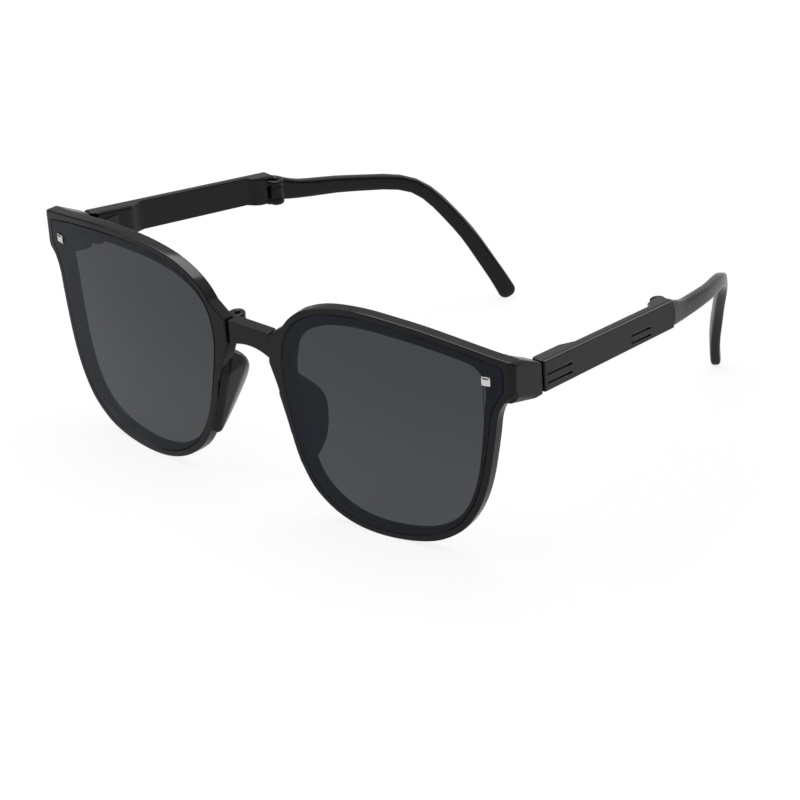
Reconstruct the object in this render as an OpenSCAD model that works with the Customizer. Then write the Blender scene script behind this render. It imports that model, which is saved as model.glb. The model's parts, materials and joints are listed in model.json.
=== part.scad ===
/* [Lenses] */
// Width of a lens across the eye, without its corner wing
lens_w = 55; // [50:0.5:60]
// Height of a lens
lens_h = 51.8; // [46:0.5:56]
// Thickness of a lens
lens_t = 1.8; // [1.6:0.1:2.2]
// Radius of the curve that the front of both rims and lenses follows
base_r = 250; // [180:10:500]
// Gap round a lens in its seat
lens_gap = 0.06; // [0.04:0.02:0.12]

/* [Rims] */
// Rim seen round the lens from the front
rim_border = 1.6; // [1.3:0.1:2.4]
// Width of the rim beside the corner wing of a lens
wing_border = 2.8; // [2:0.1:3.4]
// Width of the ledge behind the lens at its top
ledge_w = 3.4; // [2.4:0.1:4]
// Width of the ledge behind the lens at its foot
ledge_low = 1; // [0.8:0.1:2]
// Thickness of a rim from front to back
rim_t = 3; // [2.8:0.1:4]
// Angle by which each rim wraps back towards the temple
wrap = 7.6; // [5:0.1:9]
// Width of the end piece behind the corner wing
end_w = 4.2; // [3.8:0.1:4.6]
// Side of the square stud head
stud_head = 2; // [1.6:0.1:2.8]
// Height of the stud head above the lens
stud_h = 0.6; // [0.4:0.1:0.8]
// Diameter of the stud's shank
shank_d = 1.4; // [1:0.1:1.6]

/* [Bridge] */
// Clear width between the two rims
bridge_gap = 12.4; // [11:0.2:16]
// Height of the bridge at its ends
bridge_h = 6.4; // [6:0.2:8]
// Depth of the bridge from front to back
bridge_t = 3.2; // [2.8:0.1:4]
// Rise of the arch under the bridge
bridge_arch = 1.5; // [0.6:0.1:2.4]

/* [Hinges] */
// Diameter of every hinge pin
pin_d = 1.2; // [1:0.1:1.4]
// Radial clearance of a pin in its knuckles
pin_clear = 0.05; // [0.03:0.01:0.08]
// Outer diameter of a moulded knuckle
knuckle_d = 3.8; // [3.4:0.1:4.2]
// Outer diameter of a metal hinge barrel
barrel_d = 3; // [2.6:0.1:3.4]
// Gap between neighbouring knuckles
knuckle_gap = 0.12; // [0.08:0.02:0.2]
// Thickness of the metal hinge leaves
leaf_t = 0.8; // [0.6:0.1:1]

/* [Temples] */
// Slope of the temples against the hinge pins
slope = 9.9; // [8:0.1:12]
// Length of the front half of a temple
front_l = 56.2; // [50:0.2:60]
// Height of the front half at the end piece
arm_h = 7.8; // [7.4:0.1:8.4]
// Thickness of the front half
arm_t = 4; // [3.6:0.1:4.4]
// Thickness of the front half between its two blocks
thin_t = 2.2; // [1.8:0.1:3]
// Length of the thick block behind the front hinge
block_l = 11; // [9:0.5:14]
// Angle by which the front half heads inward
toe_in = 7.1; // [4:0.1:9]
// Height of the rear half at its hinge
rear_h = 6.4; // [6:0.1:6.8]
// Thickness of the rear half
rear_t = 2.6; // [2.2:0.1:3.2]
// Angle by which the rear half heads further inward
kink = 10; // [8:0.5:14]
// Length from the middle hinge to the ear bend
rear_l = 41.5; // [38:0.5:46]
// Length from the ear bend to the tip
ear_l = 40.5; // [36:0.5:46]
// Steepness of the ear piece
ear_down = 60; // [52:0.5:64]
// Heading of the ear piece towards the head
ear_in = 44; // [38:0.5:50]
// Height of the ear piece at its tip
tip_h = 4.5; // [4:0.1:6]
// Depth of the slots pressed into the outer face
slot_depth = 0.4; // [0.2:0.1:0.6]

/* [Hidden] */

frame_black = [0.03, 0.03, 0.035];
lens_grey = [0.16, 0.17, 0.19, 0.6];
steel = [0.72, 0.73, 0.75];
joint_gap = 0.15;
bore_d = pin_d + 2 * pin_clear;

// The lens outline, nose side first, as points across and up the rim
nose_side = 3.4;
nose_x = bridge_gap / 2 + nose_side;
foot_z = rim_border + 0.2;
shape_w = 55;
shape_h = 51.8;
lens_shape = [
    [0, 34.6], [0.6, 39.6], [2.2, 43.4], [5, 46.5], [8.9, 48.9], [14.2, 50.7], [22.2, 51.7],
    [30.1, 51.6], [37.8, 51.1], [45.6, 50.1], [53.1, 48.9]];
wing_top = [58.2, 47.9];
wing_low = [58.2, 41.2];
lens_side = [
    [56.8, 39.6], [55.6, 37.2], [54.9, 34.6], [54.4, 30.6], [53.4, 24.2], [52.3, 18.6],
    [50.7, 13.4], [48.4, 8.8], [45.5, 5.3], [40.8, 2.2], [35.7, 0.6], [30.3, -0.2], [25, -0.4],
    [19.6, 0.2], [14.3, 2], [9.6, 5.2], [6.8, 8.8], [4.6, 13.4], [2.9, 18.9], [1.5, 24.6],
    [0.4, 29.8]];

function place(p) = [nose_x + p[0] * lens_w / shape_w, foot_z + 0.4 + p[1] * lens_h / (shape_h + 0.3)];

// One stretch of a smooth curve through four points
function stretch(a, b, c, d, u) =
    0.5 * ((2 * b) + (c - a) * u + (2 * a - 5 * b + 4 * c - d) * u * u
    + (3 * b - a - 3 * c + d) * u * u * u);
function through(p, steps) = [
    for (i = [1:len(p) - 3]) for (k = [0:steps - 1])
        stretch(p[i - 1], p[i], p[i + 1], p[i + 2], k / steps)];

wing_steps = 4;
function corner(c, r, from, sweep) = [
    for (k = [0:wing_steps]) c + r * [cos(from - sweep * k / wing_steps), sin(from - sweep * k / wing_steps)]];
corner_r = 1.1;
wing_pts = concat(corner(place(wing_top) - [corner_r, corner_r], corner_r, 90, 90),
                  corner(place(wing_low) + [-corner_r, corner_r], corner_r, 0, 52));
side_pts = through(concat([place([57.8, 41])], [for (p = lens_side) place(p)],
                          [for (p = lens_shape) place(p)], [place([58, 48])]), 3);
lens_outline = concat(side_pts, wing_pts);

// Moves each point of a closed outline along its own normal
function normal_at(p, i) =
    let (n = len(p), d = p[(i + 1) % n] - p[(i + n - 1) % n]) [d[1], -d[0]] / norm(d);
function grow(p, by) = [for (i = [0:len(p) - 1]) p[i] - by * normal_at(p, i)];

// Outside of a rim: an even border round the lens and a wider one beside its wing
rim_corner = 1.6;
wing_round = 1.3;
rim_outline = concat(
    [for (i = [0:len(side_pts) - 1]) lens_outline[i] - rim_border * normal_at(lens_outline, i)],
    corner(place(wing_top) + [wing_border - rim_corner, rim_border - rim_corner], rim_corner, 90, 90),
    corner(place(wing_low) + [wing_border - rim_corner, rim_corner - 0.8], rim_corner, 0, 40));

// The see-through opening leaves the corner wing out, and its ledge narrows towards the foot
eye_outline = through(concat(
    [place([55.6, 37.2])], [for (k = [2:len(lens_side) - 1]) place(lens_side[k])],
    [for (k = [0:len(lens_shape) - 2]) place(lens_shape[k])],
    [place([51.5, 48.6]), place([55.2, 44.2]), place([55.6, 37.2]), place([54.9, 34.6])]), 3);
function ledge_at(z) = ledge_low + (ledge_w - ledge_low) * max(0, min(1, (z - foot_z) / lens_h));
opening = [for (i = [0:len(eye_outline) - 1]) eye_outline[i] + ledge_at(eye_outline[i][1]) * normal_at(eye_outline, i)];

rim_x_mid = nose_x + lens_w / 2;
crown = 0.8;

// Turns a rim's own plane, where x runs across and z up, into its place
module in_rim() rotate([-slope, 0, 0]) rotate([0, 0, wrap]) rotate([slope, 0, 0]) children();

// The curved slab between two depths behind the front surface
module slab(front, back) {
    translate([rim_x_mid, base_r - crown, -5])
        difference() {
            cylinder(h = 2 * lens_h, r = base_r - front, $fn = 180);
            translate([0, 0, -1]) cylinder(h = 2 * lens_h + 2, r = base_r - back, $fn = 180);
        }
}

module upright(outline) {
    translate([0, lens_h, 0]) rotate([90, 0, 0]) linear_extrude(height = 2 * lens_h) polygon(outline);
}

// Depth of the front surface at a place across the rim
function depth_at(x) = base_r - crown - sqrt(base_r * base_r - pow(x - rim_x_mid, 2));
function rim_to_fold(p) =
    let (a = [p[0], p[1] * cos(slope) - p[2] * sin(slope), p[1] * sin(slope) + p[2] * cos(slope)],
         b = [a[0] * cos(wrap) - a[1] * sin(wrap), a[0] * sin(wrap) + a[1] * cos(wrap), a[2]])
        [b[0], b[1] * cos(slope) + b[2] * sin(slope), -b[1] * sin(slope) + b[2] * cos(slope)];

stud_at = place([54.3, 44]);
stud_turn = asin((stud_at[0] - rim_x_mid) / base_r);

// Bridge and its hinges
rim_top = foot_z + lens_h;
bridge_top = rim_top - 11.4;
bridge_front = 2.6;
bridge_half = bridge_gap / 2 - 0.08;
bridge_tuck = bridge_t * tan(wrap);
bridge_pin_x = bridge_gap / 2 + 1.6;
bridge_pin_y = bridge_front + bridge_t + 1.9;
bridge_low = bridge_top - bridge_h;
bridge_knuckle_h = 2.6;
bridge_knuckle_low = bridge_top - 1.9 - bridge_knuckle_h;
bridge_pin_low = bridge_knuckle_low - 2.1;
bridge_pin_l = bridge_knuckle_h + 4.2;

// End piece and front hinge, seen from above: outer face, seam and pin
wing_corner = rim_to_fold([place(wing_top)[0] + wing_border, depth_at(place(wing_top)[0]), 50]);
end_l = 11.2;
seam_x = wing_corner[0] - 1.2;
seam_y = wing_corner[1] + end_l;
seam_top = rim_top - 8.3;
barrel_out = 0.7;
pin_x = seam_x - end_w - barrel_out;
pin_y = seam_y;
barrel_low = seam_top - arm_h + 0.9;
barrel_h = 1.6;
barrel_step = barrel_h + knuckle_gap;
screw_head_d = 2.4;
screw_head_h = 0.5;

// Middle hinge
function turned(v, a) = [v[0] * cos(a) - v[1] * sin(a), v[0] * sin(a) + v[1] * cos(a)];
arm_run = front_l * cos(slope);
arm_drop = front_l * sin(slope);
mid_x = pin_x + turned([barrel_out + end_w, arm_run], toe_in)[0];
mid_y = pin_y + turned([barrel_out + end_w, arm_run], toe_in)[1];
mid_top = seam_top - arm_drop;
arm_end_h = arm_h - 0.6;
mid_low = mid_top - arm_end_h;
mid_pin_in = arm_t + 0.3;
mid_knuckle_h = 2.2;
low_knuckle_h = 1.6;
mid_pin = [mid_x, mid_y] + turned([-mid_pin_in, 0], toe_in);

// Puts a piece drawn along +Y from the seam, outer face at x = 0, in the front half's place
module in_arm() translate([pin_x, pin_y, 0]) rotate([0, 0, toe_in]) translate([barrel_out + end_w, 0, 0]) children();
// The same for a piece drawn round the middle pin
module at_middle() translate([mid_pin[0], mid_pin[1], 0]) rotate([0, 0, toe_in]) children();

// Rear half: a centre line from the middle hinge through the ear bend to the tip
rear_head = toe_in + kink;
function heading(a, down) = [-sin(a) * cos(down), cos(a) * cos(down), -sin(down)];
rear_side = turned([-rear_t / 2 - 0.1, joint_gap], toe_in);
rear_start = [mid_x + rear_side[0], mid_y + rear_side[1], mid_low + rear_h / 2 + 0.1];
// Each leg of the centre line: its length, its heading towards the head and its fall
rear_legs = [
    [rear_l * 0.2, rear_head + 0.5, slope + 9], [rear_l * 0.38, rear_head - 0.5, slope + 2],
    [rear_l * 0.42, rear_head + 7.5, slope + 6], [ear_l * 0.38, ear_in - 2, ear_down - 13],
    [ear_l * 0.35, ear_in + 3, ear_down - 1], [ear_l * 0.27, ear_in - 6, ear_down + 3]];
leg_h = [rear_h, 4.7, 4, 3.6, 3.8, 4.1, tip_h];
function walk(p, legs, i) = i == len(legs) ? [p]
    : concat([p], walk(p + legs[i][0] * heading(legs[i][1], legs[i][2]), legs, i + 1));
joints_on_line = walk(rear_start, rear_legs, 0);
n_legs = len(rear_legs);
tip = joints_on_line[n_legs];
tip_r = tip_h / 2;
leg_steps = 4;
tip_rings = 5;
tip_dir = heading(rear_legs[n_legs - 1][1], rear_legs[n_legs - 1][2]);
line = through(concat([2 * rear_start - joints_on_line[1]], joints_on_line, [2 * tip - joints_on_line[n_legs - 1]]), leg_steps);
first_tip = len(line);
tip_start = tip - tip_r * tip_dir;
rings = concat(line, [for (k = [0:tip_rings]) tip_start + tip_r * sin(90 * k / tip_rings - 1) * tip_dir]);
n_rings = len(rings);
function unit(v) = v / norm(v);
function ring_dir(i) = i == 0 ? heading(rear_head, slope + 4) : i >= first_tip - 1 ? tip_dir : unit(rings[i + 1] - rings[i - 1]);
function ring_h(i) = let (leg = min(n_legs - 1, floor(i / leg_steps)), part = min(1, i / leg_steps - leg))
    leg_h[leg] + (leg_h[leg + 1] - leg_h[leg]) * part;
function ring_shrink(i) = i < first_tip ? 1 : cos(90 * (i - first_tip) / tip_rings - 1);
ring_sides = 20;
function squared(a) = [sign(cos(a)) * pow(abs(cos(a)), 0.55), sign(sin(a)) * pow(abs(sin(a)), 0.55)];
// A ring's side axis keeps level; its up axis is square to the arm
function ring_side(i) = i == 0 ? [cos(toe_in), sin(toe_in), 0] : unit(cross(ring_dir(i), [0, 0, 1]));
function ring_up(i) = i == 0 ? [0, 0, 1] : unit(cross(ring_side(i), ring_dir(i)));
rear_points = [for (i = [0:n_rings - 1]) for (k = [0:ring_sides - 1])
    let (q = squared(360 * k / ring_sides))
        rings[i] + ring_shrink(i) * (q[0] * rear_t / 2 * ring_side(i) + q[1] * ring_h(i) / 2 * ring_up(i))];
rear_faces = concat(
    [[for (k = [ring_sides - 1:-1:0]) k]],
    [for (i = [0:n_rings - 2]) for (k = [0:ring_sides - 1]) let (m = (k + 1) % ring_sides)
        each [[i * ring_sides + k, (i + 1) * ring_sides + m, (i + 1) * ring_sides + k],
              [i * ring_sides + k, i * ring_sides + m, (i + 1) * ring_sides + m]]],
    [[for (k = [0:ring_sides - 1]) (n_rings - 1) * ring_sides + k]]);

// The frame leans so that the rims' lower edges and the ear tips share one plane
foot = rim_to_fold([rim_x_mid, -crown, 0]);
tip_low = tip[2] - tip_r * 0.3;
lean = atan((foot[2] - tip_low) / (tip[1] - foot[1]));
floor_lift = -(foot[1] * sin(lean) + foot[2] * cos(lean)) - 0.19;
centre_y = 65.25;

module stand() translate([0, -centre_y, floor_lift]) rotate([lean, 0, 0]) children();
module left() stand() children();
module right() stand() mirror([1, 0, 0]) children();

// Lens: the outline cut from a curved sheet, with a hole for the stud's shank
module lens() {
    color(lens_grey)
        in_rim()
            difference() {
                intersection() {
                    upright(grow(lens_outline, -lens_gap));
                    slab(0, lens_t);
                }
                stud_hole(shank_d + 0.1);
            }
}

// Square to the curved front surface at the stud
module at_stud() translate([stud_at[0], depth_at(stud_at[0]), stud_at[1]]) rotate([0, 0, stud_turn]) children();

module stud_hole(d) {
    at_stud() rotate([-90, 0, 0]) translate([0, 0, -10]) cylinder(h = 40, d = d, $fn = 32);
}

// Stud: a square domed head on a shank that passes through the lens into the rim
module stud() {
    color(steel)
        in_rim()
            at_stud() {
                translate([0, -0.04, 0]) rotate([90, 0, 0]) {
                    translate([-stud_head / 2, -stud_head / 2, 0]) cube([stud_head, stud_head, stud_h / 2]);
                    translate([0, 0, stud_h / 2 - 0.01])
                        linear_extrude(height = stud_h / 2, scale = 0.55)
                            square(stud_head, center = true);
                }
                rotate([-90, 0, 0]) translate([0, 0, -0.1])
                    cylinder(h = rim_t - 0.2, d = shank_d, $fn = 32);
            }
}

// Nose pad, moulded with the rim: a leaf that swells back beside the nose
pad_edge = through([
    [1.8, 1, -19.5], [2.6, 5, -21.9], [2.5, 8.4, -25], [5.5, 11.6, -29.6], [7.6, 10.2, -35.4], [7.9, 6.6, -39.6],
    [7.6, 3.4, -41.8], [7.2, 0, -43]], 4);
module pad() {
    hull() {
        for (p = pad_edge)
            translate([bridge_gap / 2 + p[0], p[1], rim_top + p[2]]) sphere(r = 1.6, $fn = 24);
        translate([bridge_gap / 2 + 2.8, 3.8, rim_top - 26]) sphere(r = 1.4, $fn = 24);
    }
}

// A flat eye round the bridge pin that reaches back to what carries it
module bridge_eye(low, height, to_x, to_y, wide) {
    translate([0, 0, low])
        linear_extrude(height = height)
            union() {
                translate([bridge_pin_x, bridge_pin_y]) circle(d = knuckle_d, $fn = 48);
                polygon([[bridge_pin_x - knuckle_d / 2, bridge_pin_y], [bridge_pin_x + knuckle_d / 2, bridge_pin_y],
                         [to_x + wide, to_y], [to_x, to_y]]);
            }
}

module rim_eyes() {
    for (z = [bridge_knuckle_low - knuckle_gap - 1.9, bridge_knuckle_low + bridge_knuckle_h + knuckle_gap])
        bridge_eye(z, z > bridge_knuckle_low ? 1.4 - knuckle_gap : 1.9, bridge_gap / 2 + 0.5, 4.6, 3.4);
}

// End piece: flows from the back of the corner wing to the front hinge seam
module end_piece() {
    out = place(wing_top)[0] + wing_border;
    in = out - end_w - 0.9;
    high = place(wing_top)[1] + rim_border;
    low = place(wing_low)[1];
    hull() {
        in_rim()
            intersection() {
                upright([[in, high], [out - 1.3, high], [out - 0.4, high - 0.5], [out, high - 1.6],
                         [out, low - 0.4], [out - 0.6, low - 1.6], [out - 2, low - 2.6], [in, low - 2.6]]);
                slab(wing_round, rim_t);
            }
        translate([seam_x - end_w, seam_y - joint_gap - 2, seam_top - arm_h]) cube([end_w, 2, arm_h]);
    }
}

// Rounds the upright outer corner of the wing's front
module wing_corner_cut() {
    out = place(wing_top)[0] + wing_border;
    translate([out - wing_round, depth_at(out) + wing_round, 0])
        difference() {
            translate([0, -2 * wing_round, rim_top - 20]) cube([2 * wing_round, 2 * wing_round, 30]);
            cylinder(h = 2 * lens_h, r = wing_round, $fn = 40);
        }
}

module rim() {
    color(frame_black)
        difference() {
            union() {
                in_rim() {
                    intersection() {
                        union() {
                            upright(rim_outline);
                            upright([[bridge_gap / 2 - 0.5, bridge_low - 0.4], [bridge_gap / 2 - 0.3, bridge_top + 0.2],
                                     [nose_x + 3, rim_top - 6], [nose_x + 4, rim_top - 27.6],
                                     [bridge_gap / 2 + 3.3, rim_top - 27.6], [bridge_gap / 2 + 1.1, rim_top - 22]]);
                        }
                        slab(0, rim_t);
                    }
                }
                pad();
                rim_eyes();
                end_piece();
            }
            in_rim() {
                intersection() {
                    upright(lens_outline);
                    slab(-5, lens_t);
                }
                upright(opening);
                stud_hole(shank_d + 0.04);
                wing_corner_cut();
            }
            translate([bridge_pin_x, bridge_pin_y, bridge_pin_low]) cylinder(h = bridge_pin_l + 10, d = pin_d, $fn = 32);
            leaf_pocket();
            translate([pin_x, pin_y, 0]) cylinder(h = 2 * lens_h, d = barrel_d + 0.5, $fn = 40);
        }
}

// Metal leaf let into the end piece, with two barrels round the screw
module leaf_pocket() {
    translate([seam_x - end_w - 1, seam_y - 7 - 0.04, barrel_low - 0.04])
        cube([1 + leaf_t + 0.04, 8, barrels_h + 0.08]);
}
barrels_h = 3 * barrel_h + 2 * knuckle_gap;

module end_leaf() {
    color(steel)
        difference() {
            union() {
                translate([seam_x - end_w, seam_y - 7, barrel_low]) cube([leaf_t, 7 - joint_gap, barrels_h]);
                for (z = [barrel_low, barrel_low + 2 * barrel_step])
                    translate([pin_x, pin_y, z]) {
                        cylinder(h = barrel_h, d = barrel_d, $fn = 40);
                        translate([0, -barrel_d / 2, 0]) cube([barrel_out + leaf_t, barrel_d / 2 - joint_gap, barrel_h]);
                    }
            }
            translate([pin_x, pin_y, barrel_low - 1]) cylinder(h = barrels_h + 2, d = bore_d, $fn = 32);
            translate([pin_x, pin_y, barrel_low + barrel_step - knuckle_gap])
                cylinder(h = barrel_h + 2 * knuckle_gap, d = barrel_d + 0.5, $fn = 40);
        }
}

module arm_leaf() {
    color(steel)
        difference() {
            union() {
                in_arm() translate([-end_w, joint_gap, barrel_low]) cube([leaf_t, 7, barrels_h - 0.8]);
                translate([pin_x, pin_y, barrel_low + barrel_step]) {
                    cylinder(h = barrel_h, d = barrel_d, $fn = 40);
                    rotate([0, 0, toe_in]) translate([0, joint_gap, 0]) cube([barrel_out + leaf_t, barrel_d / 2, barrel_h]);
                }
            }
            translate([pin_x, pin_y, barrel_low - 1]) cylinder(h = barrels_h + 2, d = bore_d, $fn = 32);
            for (z = [barrel_low - 1, barrel_low + 2 * barrel_step - knuckle_gap])
                translate([pin_x, pin_y, z])
                    cylinder(h = barrel_h + 1 + knuckle_gap, d = barrel_d + 0.5, $fn = 40);
        }
}

module hinge_screw() {
    color(steel)
        translate([pin_x, pin_y, 0])
            difference() {
                union() {
                    translate([0, 0, barrel_low - 0.3]) cylinder(h = barrels_h + 0.4, d = pin_d, $fn = 32);
                    translate([0, 0, barrel_low + barrels_h + 0.05]) cylinder(h = screw_head_h, d = screw_head_d, $fn = 40);
                }
                translate([-screw_head_d, -0.2, barrel_low + barrels_h + 0.05 + screw_head_h / 2])
                    cube([2 * screw_head_d, 0.4, 1]);
            }
}

// Front half of a temple: a chamfered bar that slopes down to the middle hinge
module front_bar() {
    edge = 0.5;
    bar_end = arm_run - joint_gap / 2;
    intersection() {
        translate([-arm_t, 0, 0])
            rotate([90, 0, 90])
                linear_extrude(height = arm_t)
                    polygon([[joint_gap, seam_top], [bar_end, mid_top + tan(slope) * joint_gap / 2],
                             [bar_end, mid_low], [joint_gap, seam_top - arm_h]]);
        linear_extrude(height = 2 * lens_h)
            polygon([[0, joint_gap], [0, bar_end], [-arm_t, bar_end], [-arm_t, bar_end - 4.6], [-arm_t + 0.6, bar_end - 6],
                     [-thin_t, bar_end - 7.4], [-thin_t, block_l + 5], [-arm_t + 0.7, block_l + 1.6], [-arm_t, block_l],
                     [-arm_t, joint_gap]]);
        translate([0, -1, seam_top + tan(slope)])
            rotate([-slope, 0, 0])
                rotate([-90, 0, 0])
                    linear_extrude(height = front_l + 4)
                        polygon([[-arm_t, edge], [-arm_t + edge, 0], [-edge, 0], [0, edge],
                                 [0, arm_h + 1 - edge], [-edge * 2, arm_h + 1], [-arm_t, arm_h + 1]]);
    }
}

// Two short slots pressed side by side into the outer face
module slots(at, length, drop, step) {
    for (k = [0, 1])
        translate([-slot_depth, at, seam_top - drop - at * tan(slope) - k * step])
            rotate([-slope, 0, 0])
                cube([1, length, 0.6]);
}

module front_arm() {
    color(frame_black)
        difference() {
            union() {
                in_arm()
                    difference() {
                        front_bar();
                        slots(1.4, 10, 4, 2.1);
                        slots(arm_run - 18.6, 8, 4.5, 1.8);
                        translate([-end_w - 1, joint_gap - 0.5, barrel_low - 0.05])
                            cube([1 + leaf_t + 0.04, 7.55, barrels_h - 0.7]);
                    }
                at_middle() {
                    translate([0, 0, mid_top - mid_knuckle_h]) mid_eye(mid_knuckle_h - 0.8);
                    translate([0, 0, mid_low + 0.1]) mid_eye(low_knuckle_h);
                }
            }
            at_middle() {
                translate([0, 0, mid_low + 0.1 + low_knuckle_h])
                    cylinder(h = mid_top - mid_knuckle_h - mid_low - 0.1 - low_knuckle_h,
                             d = knuckle_d + 0.6, $fn = 48);
                translate([0, 0, mid_low - 5]) cylinder(h = arm_h + 10, d = pin_d, $fn = 32);
            }
            translate([pin_x, pin_y, 0])
                cylinder(h = 2 * lens_h, d = barrel_d + 0.5, $fn = 40);
        }
}

// Eye of the front half round the middle pin, joined to the bar's inner face
module mid_eye(height) {
    linear_extrude(height = height)
        union() {
            circle(d = knuckle_d, $fn = 48);
            polygon([[-1.5, 0], [0.3, -2.4], [1.4, -2.4], [1.4, 0]]);
        }
}

// Rear half: one swept arm with a single eye between the front half's two
module ear_arm() {
    eye_low = mid_low + 0.1 + low_knuckle_h + knuckle_gap;
    eye_h = mid_top - mid_knuckle_h - knuckle_gap - eye_low;
    color(frame_black)
        difference() {
            union() {
                difference() {
                    polyhedron(points = rear_points, faces = rear_faces, convexity = 6);
                    at_middle() {
                        translate([0, 0, mid_low - 5]) cylinder(h = 5.1 + low_knuckle_h + knuckle_gap, d = knuckle_d + 0.6, $fn = 48);
                        translate([0, 0, mid_top - mid_knuckle_h - knuckle_gap]) cylinder(h = 10, d = knuckle_d + 0.6, $fn = 48);
                    }
                }
                at_middle()
                    translate([0, 0, eye_low])
                        linear_extrude(height = eye_h)
                            union() {
                                circle(d = knuckle_d, $fn = 48);
                                polygon([[-1.5, 0], [0.7, 2.7], [2.2, 2.7], [2.2, joint_gap], [1.4, joint_gap]]);
                            }
            }
            at_middle() translate([0, 0, mid_low - 5]) cylinder(h = arm_h + 10, d = bore_d, $fn = 32);
        }
}

module middle_pin() {
    color(steel)
        at_middle() translate([0, 0, mid_low + 0.2]) cylinder(h = arm_end_h - 0.6, d = pin_d - 0.02, $fn = 32);
}

// Bridge: an arched bar between the rims with one eye behind each end
module bridge() {
    half = bridge_half;
    arch_r = (half * half + bridge_arch * bridge_arch) / (2 * bridge_arch);
    color(frame_black)
        stand()
            difference() {
                union() {
                    difference() {
                        translate([0, bridge_front, bridge_low])
                            linear_extrude(height = bridge_h)
                                polygon([[-half, 0], [half, 0], [half - bridge_tuck, bridge_t], [bridge_tuck - half, bridge_t]]);
                        translate([0, 0, bridge_low + bridge_arch - arch_r])
                            rotate([-90, 0, 0]) cylinder(h = 20, r = arch_r, $fn = 96);
                    }
                    for (side = [0, 1])
                        mirror([side, 0, 0])
                            bridge_eye(bridge_knuckle_low, bridge_knuckle_h, half - 3.4, bridge_front + bridge_t - 1.2, 2.5);
                }
                for (side = [-1, 1])
                    translate([side * bridge_pin_x, bridge_pin_y, bridge_pin_low])
                        cylinder(h = bridge_pin_l, d = bore_d, $fn = 32);
            }
}

module bridge_pin() {
    color(steel)
        translate([bridge_pin_x, bridge_pin_y, bridge_pin_low])
            cylinder(h = bridge_pin_l - 0.3, d = pin_d - 0.02, $fn = 32);
}

left() rim();  // left_rim
right() rim();  // right_rim
left() lens();  // left_lens
right() lens();  // right_lens
left() stud();  // left_stud
right() stud();  // right_stud
bridge();
left() bridge_pin();  // left_bridge_pin
right() bridge_pin();  // right_bridge_pin
left() end_leaf();  // left_end_leaf
right() end_leaf();  // right_end_leaf
left() arm_leaf();  // left_arm_leaf
right() arm_leaf();  // right_arm_leaf
left() hinge_screw();  // left_hinge_screw
right() hinge_screw();  // right_hinge_screw
left() front_arm();  // left_front_arm
right() front_arm();  // right_front_arm
left() middle_pin();  // left_middle_pin
right() middle_pin();  // right_middle_pin
left() ear_arm();  // left_ear_arm
right() ear_arm();  // right_ear_arm
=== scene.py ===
# %% [markdown]
# Folding sunglasses, dressed for a portrait
#
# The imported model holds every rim, lens, hinge and temple at its real size. This lesson gives those pieces the
# finish of the real ones: deep black moulded plastic with soft edges, smoke grey lenses, bright studs and
# blackened hinge parts. Nothing is moved or resized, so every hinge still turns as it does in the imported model.

import json
import math

import bmesh
import bpy
from mathutils import Matrix, Vector


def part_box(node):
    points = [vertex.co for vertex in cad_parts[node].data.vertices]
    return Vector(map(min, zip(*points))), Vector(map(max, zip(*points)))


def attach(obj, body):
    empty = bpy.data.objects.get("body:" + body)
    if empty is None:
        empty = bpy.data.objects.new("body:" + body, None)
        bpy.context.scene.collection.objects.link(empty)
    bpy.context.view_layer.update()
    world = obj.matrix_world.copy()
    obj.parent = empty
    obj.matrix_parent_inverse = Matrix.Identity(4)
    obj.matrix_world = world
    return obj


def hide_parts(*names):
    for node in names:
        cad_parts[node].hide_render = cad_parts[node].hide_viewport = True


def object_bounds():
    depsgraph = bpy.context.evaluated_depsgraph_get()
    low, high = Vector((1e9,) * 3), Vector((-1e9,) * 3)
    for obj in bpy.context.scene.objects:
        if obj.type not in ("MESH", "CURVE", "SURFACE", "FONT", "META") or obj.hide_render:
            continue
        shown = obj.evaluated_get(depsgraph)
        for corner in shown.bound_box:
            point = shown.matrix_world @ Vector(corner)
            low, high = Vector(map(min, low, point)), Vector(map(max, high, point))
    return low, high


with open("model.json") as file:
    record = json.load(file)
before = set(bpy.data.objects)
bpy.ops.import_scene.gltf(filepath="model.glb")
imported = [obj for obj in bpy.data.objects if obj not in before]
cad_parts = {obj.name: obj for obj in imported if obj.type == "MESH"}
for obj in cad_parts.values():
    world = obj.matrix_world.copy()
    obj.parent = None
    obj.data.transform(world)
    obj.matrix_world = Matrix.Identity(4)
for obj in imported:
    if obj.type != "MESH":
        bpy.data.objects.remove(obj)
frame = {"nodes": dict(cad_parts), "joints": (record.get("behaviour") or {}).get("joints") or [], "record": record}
cad_low, cad_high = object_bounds()
nodes = frame["nodes"]
members_of = frame["record"]["behaviour"]["bodies"]
body_of_node = {name: body for body, members in members_of.items() for name in members}
hinges = {joint["name"]: joint for joint in frame["joints"]}
MM = 0.001
SIDES = ("left", "right")
cad_size = cad_high - cad_low
print("packed size in mm:", [round(length / MM, 1) for length in cad_size])
print("nodes:", len(nodes), "hinges:", sorted(hinges))

# %% [markdown]
# ## Shader maths as plain expressions
#
# A shader tree is easier to read as a formula than as a list of Math nodes. The small class below wraps one
# socket, so that an expression such as 1 - mask * 0.3 adds the nodes it needs. Anything that isn't plain maths
# comes from one method that takes the node's type, its settings and its inputs.


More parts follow.
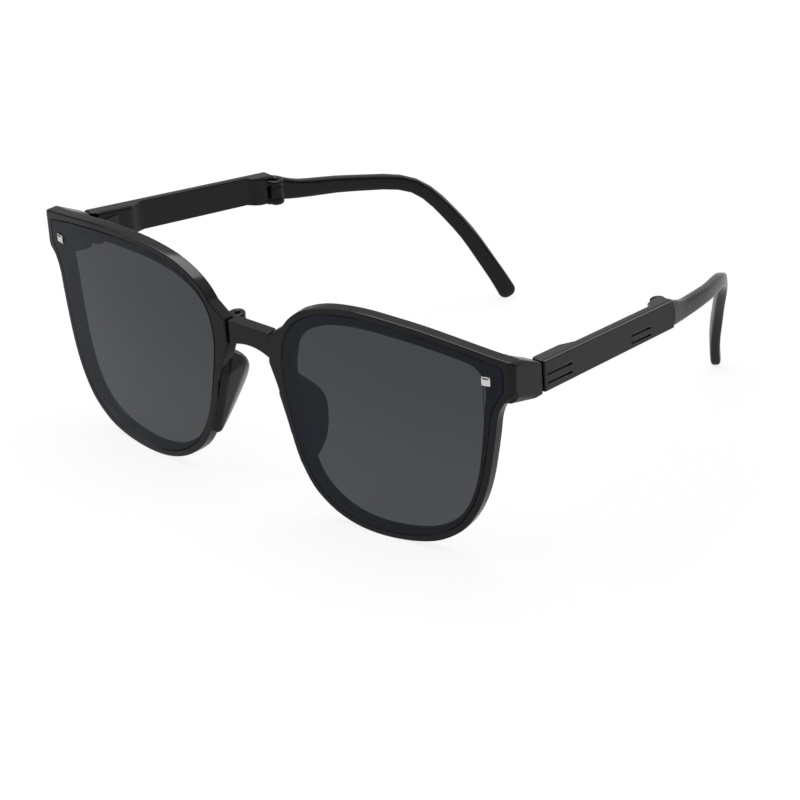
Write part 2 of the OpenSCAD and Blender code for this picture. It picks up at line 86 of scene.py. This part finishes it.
# %% The socket class
class Wire:
    """One output socket that can be used in Python arithmetic."""

    def __init__(self, tree, socket):
        self.tree = tree
        self.socket = socket

    def maths(self, operation, first, second=None):
        node = self.tree.nodes.new("ShaderNodeMath")
        node.operation = operation
        for place, value in enumerate((first, second)):
            if isinstance(value, Wire):
                self.tree.links.new(value.socket, node.inputs[place])
            elif value is not None:
                node.inputs[place].default_value = value
        return Wire(self.tree, node.outputs[0])

    def __add__(self, other):
        return self.maths("ADD", self, other)

    def __sub__(self, other):
        return self.maths("SUBTRACT", self, other)

    def __rsub__(self, other):
        return self.maths("SUBTRACT", other, self)

    def __mul__(self, other):
        return self.maths("MULTIPLY", self, other)

    __radd__ = __add__
    __rmul__ = __mul__

    def ramp(self, low, high):
        """0 at low, 1 at high, with an eased path between them."""
        return node_of(self.tree, "ShaderNodeMapRange", {"interpolation_type": "SMOOTHSTEP"},
                       {"Value": self, "From Min": low, "From Max": high}, "Result")


# %% [markdown]
# ## One way to add a node
#
# Every other node needs the same three steps: add it, set its options, then fill or link its sockets. Written out
# each time they would hide the recipe, so one helper does all three. The options come first, because some of them
# change which sockets a node has.


# %% Node helper
def node_of(tree, kind, settings, sockets, output):
    """Adds one node: its settings first, then the values or links of its sockets."""
    node = tree.nodes.new(kind)
    for name, value in settings.items():
        setattr(node, name, value)
    for name, value in sockets.items():
        if isinstance(value, Wire):
            tree.links.new(value.socket, node.inputs[name])
        else:
            node.inputs[name].default_value = value
    return Wire(tree, node.outputs[output])


# %% [markdown]
# ## Patterns that belong to the piece
#
# Marks on a real part stay on it when it moves, so every pattern is measured from the piece's own coordinates and
# not from the room. Noise stands for haze, wear and grain. A painted texture would need a flat layout for each
# piece, and noise in space needs none.


# %% Pattern helpers
def place_on(tree):
    """The piece's own coordinates, in metres, and their three parts."""
    point = node_of(tree, "ShaderNodeTexCoord", {}, {}, "Object")
    parts = tree.nodes.new("ShaderNodeSeparateXYZ")
    tree.links.new(point.socket, parts.inputs[0])
    return point, [Wire(tree, socket) for socket in parts.outputs]


def speckle(tree, point, size, detail=2.0):
    """Soft random patches, about one patch per size in metres."""
    sockets = {"Vector": point, "Scale": 1.0 / size, "Detail": detail}
    return node_of(tree, "ShaderNodeTexNoise", {}, sockets, "Fac")


def blend_colours(tree, mask, first, second):
    """The first colour where mask is 0, the second where it is 1."""
    node = tree.nodes.new("ShaderNodeMix")
    node.data_type = "RGBA"
    for socket in node.inputs:
        if socket.type == "RGBA" and socket.name in ("A", "B"):
            socket.default_value = (*(first if socket.name == "A" else second), 1.0)
    tree.links.new(mask.socket, node.inputs[0])
    return Wire(tree, next(socket for socket in node.outputs if socket.type == "RGBA"))


# %% [markdown]
# ## Starting a material
#
# Plastic, tinted lens and metal are one kind of surface with different numbers, which is what the Principled
# shader is for. Even values are set straight on its sockets, and only what changes over the surface is linked.
# That keeps each recipe short and lets the finish be baked for other programs.


# %% Material helpers
def new_material(name, **sockets):
    """A material with one Principled shader, whose even values are set on its own sockets."""
    material = bpy.data.materials.new(name)
    material.use_nodes = True
    shader = material.node_tree.nodes["Principled BSDF"]
    for socket, value in sockets.items():
        shader.inputs[socket.replace("_", " ")].default_value = value
    return material, material.node_tree, shader


def feed(tree, shader, **wires):
    """Links values that change over the surface to the shader's sockets."""
    for socket, wire in wires.items():
        tree.links.new(wire.socket, shader.inputs[socket.replace("_", " ")])


def relief(tree, height, depth, strength=1.0):
    """A bump node for a height between 0 and 1 that is depth metres deep."""
    sockets = {"Height": height, "Distance": depth, "Strength": strength}
    return node_of(tree, "ShaderNodeBump", {}, sockets, "Normal")


# %% [markdown]
# ## Deep black moulded plastic
#
# The frame is injection moulded and polished. Seen close, such plastic isn't a flat black: the polish varies in
# soft patches, the surface has a faint orange peel from the mould, and handling leaves a thin haze that shows
# only in the highlights. All three are small, so the piece still reads as deep gloss black from arm's length.


# %% Black plastic
def black_plastic():
    material, tree, shader = new_material("polished black plastic", IOR=1.49, Specular_IOR_Level=0.3)
    point, _ = place_on(tree)
    haze = speckle(tree, point, 9 * MM, 4.0)
    peel = speckle(tree, point, 1.3 * MM, 1.0)
    fine = speckle(tree, point, 0.25 * MM, 2.0)
    handled = haze.ramp(0.42, 0.72)
    feed(tree, shader,
         Base_Color=blend_colours(tree, haze, (0.0026, 0.0026, 0.0029), (0.0052, 0.0052, 0.0057)),
         Roughness=0.1 + handled * 0.1 + fine * 0.03,
         Normal=relief(tree, peel, 0.0025 * MM))
    return material


# %% [markdown]
# ## Smoke grey lenses
#
# A tinted lens lets a little light through and mirrors a little off its front. Light meets the tint at both
# faces, so each face only takes out its share. The tint is a touch denser at the brow than at the cheek, and a
# faint blue keeps the grey cool.


# %% Lens tint
def lens_tint():
    material, tree, shader = new_material("smoke grey lens", IOR=1.5, Specular_IOR_Level=0.3)
    point, (_, _, up) = place_on(tree)
    low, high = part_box("left_lens")
    brow = up.ramp(low.z + 8 * MM, high.z - 6 * MM)
    haze = speckle(tree, point, 14 * MM, 2.0)
    feed(tree, shader,
         Base_Color=blend_colours(tree, brow, (0.0024, 0.0054, 0.0115), (0.002, 0.0045, 0.0098)),
         Alpha=0.757 + brow * 0.03,
         Roughness=0.025 + haze * 0.03)
    return material


# %% [markdown]
# ## Metal parts
#
# The studs are polished bright. The hinge leaves are rolled strip with a grain along their length and the pins
# are drawn wire, both blackened so that they vanish against the plastic. One function makes all three: the grain
# is noise that is squeezed across one direction, and its strength is what tells strip from mirror polish.


# %% Metals
def metal(name, colour, polish, grain, along):
    """Bare metal whose grain runs along one axis: polish is its roughness and grain the depth of its scratches."""
    material, tree, shader = new_material(name, Metallic=1.0)
    point, _ = place_on(tree)
    squeeze = [1.0 if axis == along else 9.0 for axis in range(3)]
    lined = node_of(tree, "ShaderNodeVectorMath", {"operation": "MULTIPLY"}, {0: point, 1: squeeze}, "Vector")
    lines = speckle(tree, lined, 0.9 * MM, 3.0)
    worn = speckle(tree, point, 2.5 * MM, 3.0).ramp(0.45, 0.75)
    dull = tuple(part * 0.72 for part in colour)
    feed(tree, shader,
         Base_Color=blend_colours(tree, worn, colour, dull),
         Roughness=polish + lines * grain + worn * 0.08,
         Normal=relief(tree, lines, 0.004 * MM, grain))
    return material


# %% [markdown]
# ## Five finishes
#
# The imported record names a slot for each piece: frame, lens, stud, leaf or pin. Each slot gets one material, and
# all pieces in a slot share it, as parts from one batch would. Looking the slot up in the record keeps the scene
# right when a piece changes its slot there.

# %% Name the finishes
finishes = {
    "frame": black_plastic(),
    "lens": lens_tint(),
    "stud": metal("polished stud", (0.95, 0.95, 0.94), 0.05, 0.04, 2),
    "leaf": metal("blackened steel strip", (0.06, 0.06, 0.062), 0.24, 0.3, 1),
    "pin": metal("blackened steel wire", (0.08, 0.08, 0.082), 0.18, 0.2, 2),
}
slot_of_node = {part["node"]: part["material_slot"] for part in frame["record"]["subparts"]}
print("finishes:", {slot: material.name for slot, material in finishes.items()})

# %% [markdown]
# ## Meshes that can be worked on
#
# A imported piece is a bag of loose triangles. That is enough to draw it, but an edge can't be rounded where two
# triangles only lie side by side. So a working copy has its corners merged and its flat faces made whole again.
# Rebuilding each piece by hand would risk its size, and a merged copy keeps it.


# %% Mesh helpers
SAME_POINT = 0.002 * MM


def merged(node, flat):
    """The node's mesh with its triangles joined and neighbours within flat degrees made one face."""
    shell = bmesh.new()
    shell.from_mesh(nodes[node].data)
    bmesh.ops.remove_doubles(shell, verts=shell.verts, dist=SAME_POINT)
    bmesh.ops.dissolve_limit(shell, angle_limit=math.radians(flat), verts=shell.verts, edges=shell.edges)
    return shell


def plain_mesh(thing):
    """Works a thing's modifiers into its mesh and takes them off."""
    view = bpy.context.evaluated_depsgraph_get()
    finished = bpy.data.meshes.new_from_object(thing.evaluated_get(view))
    thing.modifiers.clear()
    thing.data = finished
    return finished


# %% [markdown]
# ## How much round an edge can take
#
# Moulded and tumbled plastic has no knife edges, but a round needs room on the faces beside it. On a sliver of a
# face two rounds would run into each other and tear the mesh. So each sharp edge gets a weight from the room it
# has, and an edge with too little room stays crisp.


# %% Edge weights
ROOM_SHARE = 0.42
LEAST_SHARE = 0.7
SHARP = math.radians(28)


def room_beside(edge):
    """The narrower of the two faces beside an edge, measured square to the edge."""
    start = edge.verts[0].co
    along = (edge.verts[1].co - start).normalized()
    reach = [max((corner.co - start).cross(along).length for corner in face.verts) for face in edge.link_faces]
    return min(reach) if len(reach) == 2 else 0.0


def weigh_edges(shell, width, hollows):
    """Gives sharp edges their share of the width; without hollows, inner corners stay crisp."""
    weight = shell.edges.layers.float.new("bevel_weight_edge")
    for edge in shell.edges:
        if len(edge.link_faces) == 2 and edge.calc_face_angle(0.0) > SHARP:
            edge.smooth = False
            if hollows or edge.is_convex:
                share = min(1.0, ROOM_SHARE * room_beside(edge) / width)
                edge[weight] = share if share > LEAST_SHARE else 0.0
                edge.smooth = share > LEAST_SHARE
    for face in shell.faces:
        face.smooth = True


# %% [markdown]
# ## Soft edges
#
# Those small rounds are what catch the light in a portrait. A Bevel modifier makes them along the weighted edges,
# and weighted normals keep the flat faces flat beside them. An outer edge only loses material and an inner corner
# only gains a fillet, so the piece stays inside its real size.


# %% Rounding helper
def rounded(node, width, hollows=True):
    """A stand-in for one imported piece, with its edges rounded by up to width metres."""
    shell = merged(node, 0.6)
    shell.normal_update()
    weigh_edges(shell, width, hollows)
    mesh = bpy.data.meshes.new(node + " rounded")
    shell.to_mesh(mesh)
    shell.free()
    piece = bpy.data.objects.new(node + "_finish", mesh)
    bpy.context.scene.collection.objects.link(piece)
    bevel = piece.modifiers.new("soft edges", "BEVEL")
    bevel.width = width
    bevel.segments = 3
    bevel.limit_method = "WEIGHT"
    bevel.use_clamp_overlap = False
    bevel.miter_outer = "MITER_ARC"
    even = piece.modifiers.new("flat faces stay flat", "WEIGHTED_NORMAL")
    even.mode = "FACE_AREA"
    even.weight = 90
    even.thresh = 0.01
    even.keep_sharp = True
    plain_mesh(piece)
    return piece


# %% [markdown]
# ## The base curve of the lenses
#
# A real lens is cut from a large curved sheet, and it mirrors the room in one unbroken sweep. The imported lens
# follows that curve in narrow flats, which would break a reflection into steps. More flats would make the mesh
# heavy, so the flats stay and only their shading normals are turned to the true curve.


# %% Curve helpers
ON_THE_CURVE = 0.9985
BASE_RADIUS = 250 * MM


def true_curve(piece, hub, axis):
    """Gives faces that lie round the base curve's hub the normals of a true cylinder instead of its flats."""
    mesh = piece.data
    normals = [corner.vector.copy() for corner in mesh.corner_normals]
    fixed = 0
    for face in mesh.polygons:
        spoke = face.center - hub
        spoke = (spoke - axis * spoke.dot(axis)).normalized()
        way = face.normal.dot(spoke)
        if abs(way) > ON_THE_CURVE:
            fixed += 1
            for corner in face.loop_indices:
                spoke = mesh.vertices[mesh.loops[corner].vertex_index].co - hub
                normals[corner] = (spoke - axis * spoke.dot(axis)).normalized() * math.copysign(1.0, way)
    mesh.normals_split_custom_set(normals)
    return fixed


def hub_of(node, radius):
    """The axis of a lens's base curve, as a point on it and its direction, from the lens's four largest flats."""
    shell = merged(node, 0.3)
    flats = sorted((face for face in shell.faces if face.normal.y < -0.9), key=lambda face: face.calc_area())[-4:]
    flats.sort(key=lambda face: face.calc_center_median().x)
    axis = flats[0].normal.cross(flats[-1].normal).normalized()
    middle = flats[1]
    ends = [corner.co - axis * corner.co.dot(axis) for corner in middle.verts]
    centre = (min(ends, key=lambda point: point.x) + max(ends, key=lambda point: point.x)) / 2
    hub = centre - middle.normal * radius
    shell.free()
    return hub, axis


# %% [markdown]
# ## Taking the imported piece's place
#
# A rounded piece must turn with the hinge that its packed twin turns with. Three calls say so: which node it
# replaces, which material slot it fills and which body it rides on. The narrowest round goes to the thinnest
# part. The slots in the temples are pressed, so their inner corners stay crisp.


# %% Round every visible piece
def dress(piece, node):
    """Puts a stand-in in its node's place, on its node's body and with its node's finish."""
    slot = slot_of_node[node]
    piece.data.materials.clear()
    piece.data.materials.append(finishes[slot])
    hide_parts(node)
    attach(piece, body_of_node[node])


EDGE_OF = {
    "rim": 0.32 * MM, "lens": 0.16 * MM, "stud": 0.1 * MM, "front_arm": 0.36 * MM, "ear_arm": 0.22 * MM,
    "end_leaf": 0.1 * MM, "arm_leaf": 0.1 * MM, "hinge_screw": 0.08 * MM,
}
hub_at = {side: hub_of(side + "_lens", BASE_RADIUS) for side in SIDES}
for part, width in EDGE_OF.items():
    for side in SIDES:
        node = f"{side}_{part}"
        piece = rounded(node, width, hollows=part != "front_arm")
        if part in ("rim", "lens"):
            print(node, "faces on the base curve:", true_curve(piece, *hub_at[side]))
        dress(piece, node)
dress(rounded("bridge", 0.28 * MM), "bridge")
print("rounded pieces:", 2 * len(EDGE_OF) + 1)

# %% [markdown]
# ## Finding the pressed slots
#
# Each temple carries four short slots that are pressed in while the plastic is warm. They are found by measuring
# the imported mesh: a slot's floor is a flat face that lies a little under the temple's outer face. Typing their
# places in again would work too, but it would go wrong as soon as a slot moved.


# %% Find the slots
SHALLOWEST, DEEPEST = 0.2 * MM, 0.6 * MM
LEAST_FLOOR = 3 * MM * MM


def slot_floors(node, side):
    """Middle, direction, outward normal and length of each slot in a temple's outer face."""
    shell = merged(node, 0.6)
    aside = 1 if side == "left" else -1
    outer = max((face for face in shell.faces if face.normal.x * aside > 0.9), key=lambda face: face.calc_area())
    outward = outer.normal.copy()
    level = outer.verts[0].co.dot(outward)
    found = []
    for face in shell.faces:
        sunk = level - face.verts[0].co.dot(outward)
        level_with = face.normal.dot(outward) > 0.999
        if level_with and SHALLOWEST < sunk < DEEPEST and face.calc_area() > LEAST_FLOOR:
            side_edge = max(face.edges, key=lambda edge: edge.calc_length())
            along = (side_edge.verts[1].co - side_edge.verts[0].co).normalized()
            across = outward.cross(along)
            reach = [corner.co.dot(along) for corner in face.verts]
            height = [corner.co.dot(across) for corner in face.verts]
            middle = along * (min(reach) + max(reach)) / 2 + across * (min(height) + max(height)) / 2
            middle += outward * level
            found.append((middle, along, outward, max(reach) - min(reach)))
    shell.free()
    return found


slots = {side: slot_floors(f"{side}_front_arm", side) for side in SIDES}
for side in SIDES:
    print(side, "slot lengths in mm:", [round(length / MM, 2) for _, _, _, length in slots[side]])

# %% [markdown]
# ## A fine lip round each slot
#
# The press pushes up a fine lip round every slot, and that lip is what makes the slots read in raking light. The
# lips repeat, so they are grown with Geometry Nodes: a rectangle is filleted to an oval loop, swept with a round
# wire and laid on every point. Modelling eight loops by hand would give the same look with eight places to mend.


# %% The tree of lips
ALMOST_HALF = 0.499


def add(tree, kind, sockets, output=0, **settings):
    """One geometry node with its settings and its inputs by socket identifier."""
    node = tree.nodes.new(kind)
    for name, value in settings.items():
        setattr(node, name, value)
    by_name = {socket.identifier: socket for socket in node.inputs}
    for name, value in sockets.items():
        if isinstance(value, bpy.types.NodeSocket):
            tree.links.new(value, by_name[name])
        else:
            by_name[name].default_value = value
    return node.outputs[output]


def lip_tree():
    """Lays one rounded wire loop on every point, turned by the point's own directions."""
    tree = bpy.data.node_groups.new("slot lips", "GeometryNodeTree")
    face = tree.interface
    face.new_socket("Geometry", in_out="INPUT", socket_type="NodeSocketGeometry")
    for name in ("Slot Length", "Loop Height", "Wire Radius"):
        face.new_socket(name, in_out="INPUT", socket_type="NodeSocketFloat")
    face.new_socket("Finish", in_out="INPUT", socket_type="NodeSocketMaterial")
    face.new_socket("Geometry", in_out="OUTPUT", socket_type="NodeSocketGeometry")
    given = tree.nodes.new("NodeGroupInput").outputs
    half = add(tree, "ShaderNodeMath", {"Value": given["Loop Height"], "Value_001": ALMOST_HALF},
               operation="MULTIPLY")
    loop = add(tree, "GeometryNodeCurvePrimitiveQuadrilateral",
               {"Width": given["Slot Length"], "Height": given["Loop Height"]})
    oval = add(tree, "GeometryNodeFilletCurve", {"Curve": loop, "Radius": half, "Count": 7}, mode="POLY")
    wire = add(tree, "GeometryNodeCurvePrimitiveCircle", {"Resolution": 12, "Radius": given["Wire Radius"]})
    tube = add(tree, "GeometryNodeCurveToMesh", {"Curve": oval, "Profile Curve": wire})
    along = add(tree, "GeometryNodeInputNamedAttribute", {"Name": "along"}, data_type="FLOAT_VECTOR")
    outward = add(tree, "GeometryNodeInputNamedAttribute", {"Name": "outward"}, data_type="FLOAT_VECTOR")
    stretch = add(tree, "GeometryNodeInputNamedAttribute", {"Name": "stretch"}, data_type="FLOAT_VECTOR")
    turn = add(tree, "FunctionNodeAxesToRotation", {"Primary Axis": outward, "Secondary Axis": along},
               primary_axis="Z", secondary_axis="X")
    laid = add(tree, "GeometryNodeInstanceOnPoints",
               {"Points": given["Geometry"], "Instance": tube, "Rotation": turn, "Scale": stretch})
    real = add(tree, "GeometryNodeRealizeInstances", {"Geometry": laid})
    smooth = add(tree, "GeometryNodeSetShadeSmooth", {"Geometry": real})
    done = add(tree, "GeometryNodeSetMaterial", {"Geometry": smooth, "Material": given["Finish"]})
    tree.links.new(done, tree.nodes.new("NodeGroupOutput").inputs[0])
    return tree


lips = lip_tree()
print("nodes in the tree of lips:", len(lips.nodes))

# %% [markdown]
# ## Growing the lips on both temples
#
# Each temple gets one point per slot, which carries the slot's own direction and length. The wire is sunk a
# little, so that only a low ridge shows. The result is turned into a plain mesh, one for each temple, because an
# export drops instances and because each temple turns on its own hinge.

# %% Grow the lips
LIP_WIRE = 0.15 * MM
LIP_SUNK = 0.03 * MM
LIP_REACH = 1.6 * LIP_WIRE
SLOT_HIGH = 0.6 * MM
socket_of = {item.name: item.identifier for item in lips.interface.items_tree if item.in_out == "INPUT"}
for side in SIDES:
    longest = max(length for _, _, _, length in slots[side])
    points = bpy.data.meshes.new(side + " slot points")
    points.from_pydata([middle - outward * LIP_SUNK for middle, _, outward, _ in slots[side]], [], [])
    for name, place in (("along", 1), ("outward", 2)):
        directions = points.attributes.new(name, "FLOAT_VECTOR", "POINT")
        for spot, slot in zip(directions.data, slots[side]):
            spot.vector = slot[place]
    stretches = points.attributes.new("stretch", "FLOAT_VECTOR", "POINT")
    for spot, slot in zip(stretches.data, slots[side]):
        spot.vector = (slot[3] / longest, 1, 1)
    lip = bpy.data.objects.new(side + "_slot_lips", points)
    bpy.context.scene.collection.objects.link(lip)
    grow = lip.modifiers.new("lips", "NODES")
    grow.node_group = lips
    grow[socket_of["Slot Length"]] = longest + LIP_REACH
    grow[socket_of["Loop Height"]] = SLOT_HIGH + LIP_REACH
    grow[socket_of["Wire Radius"]] = LIP_WIRE
    grow[socket_of["Finish"]] = finishes["frame"]
    grown = plain_mesh(lip)
    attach(lip, body_of_node[f"{side}_front_arm"])
    print(side, "lips:", len(slots[side]), "faces:", len(grown.polygons))

# %% [markdown]
# ## The plain pins
#
# The bridge pins and the pins in the middle of the temples are drawn wire, cut to length. Only their heads show,
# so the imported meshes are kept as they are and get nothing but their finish. A round on them couldn't be seen.

# %% Finish the plain pins
for node, thing in nodes.items():
    if not thing.hide_render:
        thing.data.materials.clear()
        thing.data.materials.append(finishes[slot_of_node[node]])
        print("kept as packed:", node)

# %% [markdown]
# ## Camera
#
# The portrait was taken with a long lens from the wearer's left front, a little above the brow. A long lens keeps
# the far rim nearly as large as the near one, and the glasses sit above the middle of the square frame.

# %% Camera
target = Vector((19.65, -36.9, 20.5)) * MM
distance = 1048.2 * MM
azimuth, elevation, roll = math.radians(40.51), math.radians(23.49), math.radians(0.2)
level_back = Vector((math.sin(azimuth), -math.cos(azimuth), 0))
back = level_back * math.cos(elevation) + Vector((0, 0, math.sin(elevation)))
camera_data = bpy.data.cameras.new("portrait camera")
camera_data.lens = 207
camera_data.sensor_width = 36
camera_data.clip_start = 0.05
camera_data.clip_end = 20
camera = bpy.data.objects.new("portrait camera", camera_data)
bpy.context.scene.collection.objects.link(camera)
camera.matrix_world = (Matrix.Translation(target + back * distance)
                       @ (-back).to_track_quat("-Z", "Y").to_matrix().to_4x4()
                       @ Matrix.Rotation(roll, 4, "Z"))
bpy.context.scene.camera = camera
print("camera at", [round(value, 3) for value in camera.location])

# %% [markdown]
# ## A white floor with a soft shadow
#
# The portrait stands on white, with only a breath of shadow under the rims and ear tips. A plain matt floor would
# turn grey, and a glowing one would lose the shadow, so the camera sees a mix of both. Reflections see a dimmer
# card in its place, because a full white floor would wash the gloss black plastic pale from below.


# %% Floor
FLOOR_TONE = (0.9, 0.9, 0.9, 1)
WHITE = (1, 1, 1, 1)
GLOW_SHARE = 0.9
GLOW_LEVEL = 0.95
CARD_LEVEL = 0.6


def white_floor():
    material = bpy.data.materials.new("white studio floor")
    material.use_nodes = True
    tree = material.node_tree
    tree.nodes.clear()
    ray = tree.nodes.new("ShaderNodeLightPath")
    seen = Wire(tree, ray.outputs["Is Camera Ray"]) + Wire(tree, ray.outputs["Is Transmission Ray"])
    seen = seen.maths("MINIMUM", seen, 1.0) * GLOW_SHARE
    mirrored = Wire(tree, ray.outputs["Is Glossy Ray"])
    matt = node_of(tree, "ShaderNodeBsdfDiffuse", {}, {"Color": FLOOR_TONE}, "BSDF")
    glow = node_of(tree, "ShaderNodeEmission", {}, {"Color": WHITE, "Strength": GLOW_LEVEL}, "Emission")
    card = node_of(tree, "ShaderNodeEmission", {}, {"Color": WHITE, "Strength": CARD_LEVEL}, "Emission")
    white = node_of(tree, "ShaderNodeMixShader", {}, {0: seen, 1: matt, 2: glow}, 0)
    both = node_of(tree, "ShaderNodeMixShader", {}, {0: mirrored, 1: white, 2: card}, 0)
    out = tree.nodes.new("ShaderNodeOutputMaterial")
    tree.links.new(both.socket, out.inputs["Surface"])
    return material


floor_mesh = bpy.data.meshes.new("studio floor")
reach = 3.0
corners = [(-reach, -reach, 0), (reach, -reach, 0), (reach, reach, 0), (-reach, reach, 0)]
floor_mesh.from_pydata(corners, [], [(0, 1, 2, 3)])
floor_mesh.materials.append(white_floor())
floor = bpy.data.objects.new("studio floor", floor_mesh)
bpy.context.scene.collection.objects.link(floor)
print("floor side in m:", 2 * reach)

# %% [markdown]
# ## The room around the glasses
#
# Gloss black shows its shape only by what it mirrors. The room is even white to the camera, and for every other
# ray it grades from a dim front to a bright top and back. A picture of a studio would do the same, but it would
# be one more file, and two ramps can be tuned by hand.

# %% Backdrop
FRONT_GLARE, TOP_GLARE, BACK_GLARE = 0.12, 0.75, 0.5
world = bpy.data.worlds.new("studio")
bpy.context.scene.world = world
world.use_nodes = True
sky = world.node_tree
sky.nodes.clear()
direction = node_of(sky, "ShaderNodeTexCoord", {}, {}, "Generated")
split = sky.nodes.new("ShaderNodeSeparateXYZ")
sky.links.new(direction.socket, split.inputs[0])
_, behind, above = (Wire(sky, socket) for socket in split.outputs)
glare = FRONT_GLARE + above.ramp(0.3, 0.95) * TOP_GLARE + behind.ramp(0.35, 0.95) * BACK_GLARE
paths = sky.nodes.new("ShaderNodeLightPath")
direct = Wire(sky, paths.outputs["Is Camera Ray"])
strength = direct + (1 - direct) * glare
background = node_of(sky, "ShaderNodeBackground", {}, {"Color": WHITE, "Strength": strength}, "Background")
world_out = sky.nodes.new("ShaderNodeOutputWorld")
sky.links.new(background.socket, world_out.inputs["Surface"])
print("nodes in the backdrop:", len(sky.nodes))


# %% [markdown]
# ## Three softboxes
#
# The photographer's lamps show as long, soft streaks on the brow and along the temples. A big one above lights
# the whole, a narrow one at the wearer's right draws the rim's front edge, and an upright one behind lifts the
# temples off the dark. Small lamps would give hard dots in the gloss, so all three are wide areas.


# %% Softboxes
def softbox(name, place, width, height, watts):
    """A rectangular lamp that faces the glasses."""
    lamp = bpy.data.lights.new(name, "AREA")
    lamp.shape = "RECTANGLE"
    lamp.size, lamp.size_y, lamp.energy = width, height, watts
    thing = bpy.data.objects.new(name, lamp)
    place = Vector(place)
    facing = (target - place).to_track_quat("-Z", "Y").to_matrix().to_4x4()
    thing.matrix_world = Matrix.Translation(place) @ facing
    bpy.context.scene.collection.objects.link(thing)
    return thing


softbox("top softbox", (-0.15, -0.05, 0.9), 1.1, 0.8, 12)
softbox("left front softbox", (-0.75, -0.55, 0.5), 0.3, 0.6, 1.7)
softbox("upright softbox behind", (0.22, 0.9, 0.4), 0.2, 0.45, 0.9)

# %% [markdown]
# ## Close
#
# The view transform stays Standard, so a colour shows as it was written.

# %% Close
bpy.context.scene.view_settings.view_transform = "Standard"
